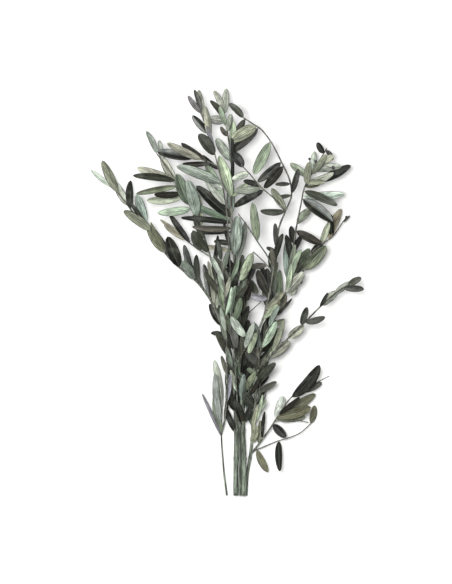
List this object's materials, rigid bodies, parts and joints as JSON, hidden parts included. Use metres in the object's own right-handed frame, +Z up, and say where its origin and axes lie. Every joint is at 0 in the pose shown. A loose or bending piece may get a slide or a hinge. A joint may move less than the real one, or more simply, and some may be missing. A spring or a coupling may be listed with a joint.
{
  "type": "olive branch bunch",
  "caption": "Gathered bunch of long preserved olive stems with narrow leaves and small dried fruits, lying flat, for filling a vase or dressing a table.",
  "frame": {"origin": "centre of the bunch's box on the surface that it lies on", "axes": "+Y along the bunch from the cut ends to the leafy tips, +X to its right side, +Z up from the surface"},
  "size_m": [0.438, 0.6542, 0.1057],
  "materials": {
    "dark_foliage": "satin",
    "pale_foliage": "matt",
    "green_foliage": "satin"
  },
  "bodies": {
    "root": {"left_stem": "dark_foliage", "slender_stem": "pale_foliage", "pale_stem": "pale_foliage", "middle_stem": "dark_foliage", "back_stem": "dark_foliage", "right_stem": "green_foliage"}
  },
  "joints": []
}
